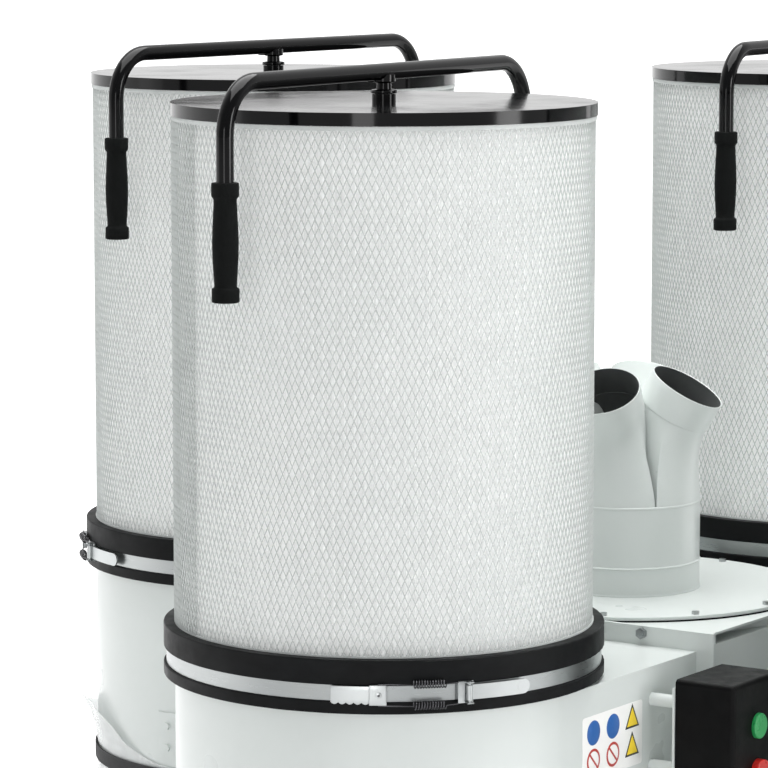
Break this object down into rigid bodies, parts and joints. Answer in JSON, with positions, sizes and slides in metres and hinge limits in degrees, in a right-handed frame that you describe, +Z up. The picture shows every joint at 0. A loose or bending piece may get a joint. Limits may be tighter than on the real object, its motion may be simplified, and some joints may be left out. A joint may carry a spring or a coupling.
{
  "type": "dust collector",
  "caption": "Free-standing workshop dust collector: a central fan feeds cartridge filters with cleaning cranks, clamp bands, drums and dust bags, on a wheeled frame.",
  "frame": {"origin": "on the floor, below the middle of the machine's outline; the fan's axis is within a few millimetres of it", "axes": "+X to the machine's right, -Y to its front, +Z up"},
  "size_m": [1.3501, 1.3501, 2.005],
  "materials": {
    "white_paint": "gloss",
    "black_gloss": "gloss",
    "black_foam": "matt foam",
    "collar_rubber": "matt",
    "zinc": "bright zinc",
    "spring_steel": "oiled black",
    "filter_paper": "pleated felt",
    "bag_film": "clear film",
    "bag_webbing": "woven",
    "agitator_steel": "satin",
    "cast_iron": "painted",
    "steel": "turned",
    "impeller_steel": "primer",
    "cowl_paint": "satin",
    "fan_plastic": "moulded",
    "wheel_rubber": "matt",
    "black_plastic": "satin moulding",
    "green_plastic": "gloss",
    "red_plastic": "gloss"
  },
  "bodies": {
    "machine": {"bag_straps": "bag_webbing", "bag_trays": "white_paint", "base_frame": "white_paint", "casing_cover": "white_paint", "caster_plates": "zinc", "centre_posts": "white_paint", "clamp_springs": "spring_steel", "clamp_straps": "zinc", "cover_gasket": "collar_rubber", "cover_screws": "zinc", "drum_front_left": "white_paint", "drum_front_right": "white_paint", "drum_plates": "white_paint", "drum_rear_left": "white_paint", "drum_rear_right": "white_paint", "fan_casing": "white_paint", "filter_cages": "zinc", "filter_lids": "black_gloss", "filter_media": "filter_paper", "flange_bolts": "zinc", "inlet_cone": "white_paint", "inlet_manifold": "white_paint", "leg_bolts": "zinc", "motor_body": "cast_iron", "motor_cowl": "cowl_paint", "rubber_collars": "collar_rubber", "support_legs": "white_paint", "switch_box": "black_plastic", "switch_plate": "white_paint", "terminal_box": "cowl_paint", "waste_bags": "bag_film"},
    "crank_assembly_front_left": {"crank_front_left": "black_gloss", "crank_grips_front_left": "black_foam", "agitator_front_left": "agitator_steel"},
    "lever_front_left": {"clamp_lever_front_left": "zinc"},
    "caster_front_left": {"caster_fork_front_left": "zinc"},
    "wheel_front_left": {"caster_wheel_front_left": "wheel_rubber"},
    "crank_assembly_front_right": {"crank_front_right": "black_gloss", "crank_grips_front_right": "black_foam", "agitator_front_right": "agitator_steel"},
    "lever_front_right": {"clamp_lever_front_right": "zinc"},
    "caster_front_right": {"caster_fork_front_right": "zinc"},
    "wheel_front_right": {"caster_wheel_front_right": "wheel_rubber"},
    "crank_assembly_rear_right": {"crank_rear_right": "black_gloss", "crank_grips_rear_right": "black_foam", "agitator_rear_right": "agitator_steel"},
    "lever_rear_right": {"clamp_lever_rear_right": "zinc"},
    "caster_rear_right": {"caster_fork_rear_right": "zinc"},
    "wheel_rear_right": {"caster_wheel_rear_right": "wheel_rubber"},
    "crank_assembly_rear_left": {"crank_rear_left": "black_gloss", "crank_grips_rear_left": "black_foam", "agitator_rear_left": "agitator_steel"},
    "lever_rear_left": {"clamp_lever_rear_left": "zinc"},
    "caster_rear_left": {"caster_fork_rear_left": "zinc"},
    "wheel_rear_left": {"caster_wheel_rear_left": "wheel_rubber"},
    "fan_rotor": {"impeller": "impeller_steel", "motor_shaft": "steel", "cooling_fan": "fan_plastic"},
    "start": {"start_button": "green_plastic"},
    "stop": {"stop_button": "red_plastic"}
  },
  "joints": [
    {"name": "crank_turn_front_left", "type": "hinge", "parent": "machine", "child": "crank_assembly_front_left", "pos_m": [-0.4, -0.4, 1.995], "axis": [0, 0, 1], "continuous": true},
    {"name": "lever_open_front_left", "type": "hinge", "parent": "machine", "child": "lever_front_left", "pos_m": [-0.35303, -0.66639, 1.3045], "axis": [0, 0, -1], "range_deg": [0, 120]},
    {"name": "caster_swivel_front_left", "type": "hinge", "parent": "machine", "child": "caster_front_left", "pos_m": [-0.59799, -0.59799, 0.098], "axis": [0, 0, 1], "continuous": true},
    {"name": "wheel_roll_front_left", "type": "hinge", "parent": "caster_front_left", "child": "wheel_front_left", "pos_m": [-0.57536, -0.57536, 0.04], "axis": [-0.7071, 0.7071, 0], "continuous": true},
    {"name": "crank_turn_front_right", "type": "hinge", "parent": "machine", "child": "crank_assembly_front_right", "pos_m": [0.4, -0.4, 1.995], "axis": [0, 0, 1], "continuous": true},
    {"name": "lever_open_front_right", "type": "hinge", "parent": "machine", "child": "lever_front_right", "pos_m": [0.66639, -0.35303, 1.3045], "axis": [0, 0, -1], "range_deg": [0, 120]},
    {"name": "caster_swivel_front_right", "type": "hinge", "parent": "machine", "child": "caster_front_right", "pos_m": [0.59799, -0.59799, 0.098], "axis": [0, 0, 1], "continuous": true},
    {"name": "wheel_roll_front_right", "type": "hinge", "parent": "caster_front_right", "child": "wheel_front_right", "pos_m": [0.57536, -0.57536, 0.04], "axis": [-0.7071, -0.7071, 0], "continuous": true},
    {"name": "crank_turn_rear_right", "type": "hinge", "parent": "machine", "child": "crank_assembly_rear_right", "pos_m": [0.4, 0.4, 1.995], "axis": [0, 0, 1], "continuous": true},
    {"name": "lever_open_rear_right", "type": "hinge", "parent": "machine", "child": "lever_rear_right", "pos_m": [0.35303, 0.66639, 1.3045], "axis": [0, 0, -1], "range_deg": [0, 120]},
    {"name": "caster_swivel_rear_right", "type": "hinge", "parent": "machine", "child": "caster_rear_right", "pos_m": [0.59799, 0.59799, 0.098], "axis": [0, 0, 1], "continuous": true},
    {"name": "wheel_roll_rear_right", "type": "hinge", "parent": "caster_rear_right", "child": "wheel_rear_right", "pos_m": [0.57536, 0.57536, 0.04], "axis": [0.7071, -0.7071, 0], "continuous": true},
    {"name": "crank_turn_rear_left", "type": "hinge", "parent": "machine", "child": "crank_assembly_rear_left", "pos_m": [-0.4, 0.4, 1.995], "axis": [0, 0, 1], "continuous": true},
    {"name": "lever_open_rear_left", "type": "hinge", "parent": "machine", "child": "lever_rear_left", "pos_m": [-0.66639, 0.35303, 1.3045], "axis": [0, 0, -1], "range_deg": [0, 120]},
    {"name": "caster_swivel_rear_left", "type": "hinge", "parent": "machine", "child": "caster_rear_left", "pos_m": [-0.59799, 0.59799, 0.098], "axis": [0, 0, 1], "continuous": true},
    {"name": "wheel_roll_rear_left", "type": "hinge", "parent": "caster_rear_left", "child": "wheel_rear_left", "pos_m": [-0.57536, 0.57536, 0.04], "axis": [0.7071, 0.7071, 0], "continuous": true},
    {"name": "fan_spin", "type": "hinge", "parent": "machine", "child": "fan_rotor", "pos_m": [0, 0, 1.12], "axis": [0, 0, 1], "continuous": true},
    {"name": "start_press", "type": "slide", "parent": "machine", "child": "start", "axis": [-0.7071, 0.7071, 0], "range_m": [0, 0.004], "stiffness_N_per_m": 400, "springref_m": -0.001},
    {"name": "stop_press", "type": "slide", "parent": "machine", "child": "stop", "axis": [-0.7071, 0.7071, 0], "range_m": [0, 0.004], "stiffness_N_per_m": 400, "springref_m": -0.001}
  ]
}
